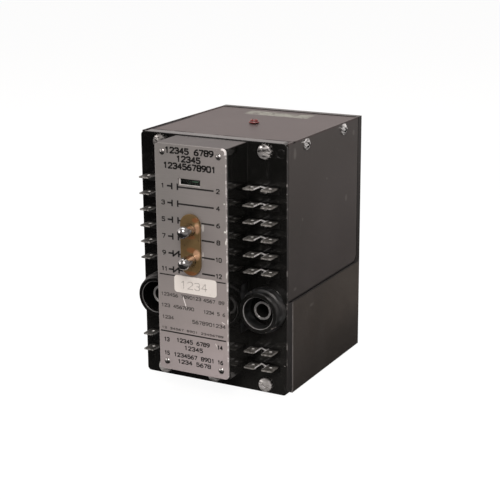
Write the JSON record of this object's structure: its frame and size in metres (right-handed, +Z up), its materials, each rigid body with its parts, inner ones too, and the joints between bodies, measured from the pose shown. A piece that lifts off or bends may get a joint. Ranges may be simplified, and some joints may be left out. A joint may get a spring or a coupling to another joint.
{
  "type": "panel relay",
  "caption": "Panel-mounted latching relay with spade terminals down both sides of its face, two push pins, a flag window and a covered mechanism.",
  "frame": {"origin": "centre of the case's underside", "axes": "+Z up, the face with the terminals looks along -Y, and +X is to the right of someone who looks at the face"},
  "size_m": [0.101, 0.1399, 0.1522],
  "materials": {
    "black_moulding": "glossy thermoset moulding",
    "case_moulding": "smooth moulding, slightly dusty",
    "black_sheet": "semi-gloss black enamel, worn",
    "plate_metal": "dull anodised, printed in black",
    "plate_rivet": "bright domed",
    "clear_window": "clear plastic pane",
    "brass_plate": "tarnished",
    "polished_steel": "polished",
    "tag_white": "satin tape",
    "tinned_brass": "tinned, dull",
    "stud_metal": "bright staked",
    "zinc_screw": "zinc plated",
    "zinc_washer": "zinc plated",
    "sleeve_steel": "dark plated steel",
    "red_seal": "glossy sealing lacquer",
    "insulating_board": "paper laminate",
    "frame_steel": "plated",
    "magnet_grey": "ground",
    "bobbin_moulding": "natural",
    "copper_winding": "enamelled copper wire",
    "bracket_brass": "stamped sheet",
    "carrier_moulding": "glass filled",
    "contact_alloy": "bronze strip with silver buttons",
    "spring_steel": "music wire",
    "flag_green": "painted green"
  },
  "bodies": {
    "base": {"terminal_base": "black_moulding", "nameplate": "plate_metal", "nameplate_rivets": "plate_rivet", "flag_window": "clear_window", "pin_guide_plate": "brass_plate", "operate_pin_spring": "spring_steel", "reset_pin_spring": "spring_steel", "id_tag": "tag_white", "terminal_left_1": "tinned_brass", "terminal_left_2": "tinned_brass", "terminal_left_3": "tinned_brass", "terminal_left_4": "tinned_brass", "terminal_left_5": "tinned_brass", "terminal_left_6": "tinned_brass", "terminal_left_7": "tinned_brass", "terminal_left_8": "tinned_brass", "terminal_right_1": "tinned_brass", "terminal_right_2": "tinned_brass", "terminal_right_3": "tinned_brass", "terminal_right_4": "tinned_brass", "terminal_right_5": "tinned_brass", "terminal_right_6": "tinned_brass", "terminal_right_7": "tinned_brass", "terminal_right_8": "tinned_brass", "terminal_studs": "stud_metal", "left_sleeve": "sleeve_steel", "right_sleeve": "sleeve_steel", "face_screws": "zinc_screw", "face_washers": "zinc_washer", "case": "case_moulding", "top_panel": "black_sheet", "left_side_panel": "black_sheet", "right_side_panel": "black_sheet", "panel_screws": "zinc_screw", "top_seal": "red_seal", "mechanism_plate": "insulating_board", "guide_rods": "frame_steel", "frame_posts": "frame_steel", "frame_screws": "frame_steel", "yoke": "frame_steel", "latch_magnet": "magnet_grey", "operate_core": "frame_steel", "operate_bobbin": "bobbin_moulding", "operate_winding": "copper_winding", "reset_core": "frame_steel", "reset_bobbin": "bobbin_moulding", "reset_winding": "copper_winding", "pivot_bracket": "bracket_brass", "bracket_rivet": "frame_steel", "rocker_pin": "frame_steel", "open_contacts": "contact_alloy", "closed_contacts": "contact_alloy", "flag_pin": "frame_steel"},
    "carrier": {"contact_carrier": "carrier_moulding", "bridge_contacts": "contact_alloy", "contact_springs": "spring_steel"},
    "rocker": {"rocker": "frame_steel"},
    "operate_plunger": {"operate_pin": "polished_steel"},
    "reset_plunger": {"reset_pin": "polished_steel"},
    "flag": {"flag": "flag_green"}
  },
  "joints": [
    {"name": "carrier_slide", "type": "slide", "parent": "base", "child": "carrier", "axis": [0, 1, 0], "range_m": [0, 0.003]},
    {"name": "rocker_turn", "type": "hinge", "parent": "base", "child": "rocker", "pos_m": [0, -0.0115, 0.1005], "axis": [-1, 0, 0], "range_deg": [0, 6.71]},
    {"name": "operate_pin_slide", "type": "slide", "parent": "base", "child": "operate_plunger", "axis": [0, 1, 0], "range_m": [0, 0.003], "deforming": ["operate_pin_spring"]},
    {"name": "reset_pin_slide", "type": "slide", "parent": "base", "child": "reset_plunger", "axis": [0, -1, 0], "range_m": [0, 0.002], "deforming": ["reset_pin_spring"]},
    {"name": "flag_turn", "type": "hinge", "parent": "base", "child": "flag", "pos_m": [0, -0.0595, 0.1282], "axis": [1, 0, 0], "range_deg": [0, 26.57]}
  ],
  "couplings": [
    {"joint": "rocker_turn", "follows": "carrier_slide", "rad_per_m": 38.999},
    {"joint": "operate_pin_slide", "follows": "carrier_slide", "ratio": 1},
    {"joint": "reset_pin_slide", "follows": "carrier_slide", "ratio": 0.66537},
    {"joint": "flag_turn", "follows": "carrier_slide", "rad_per_m": 154.55}
  ]
}
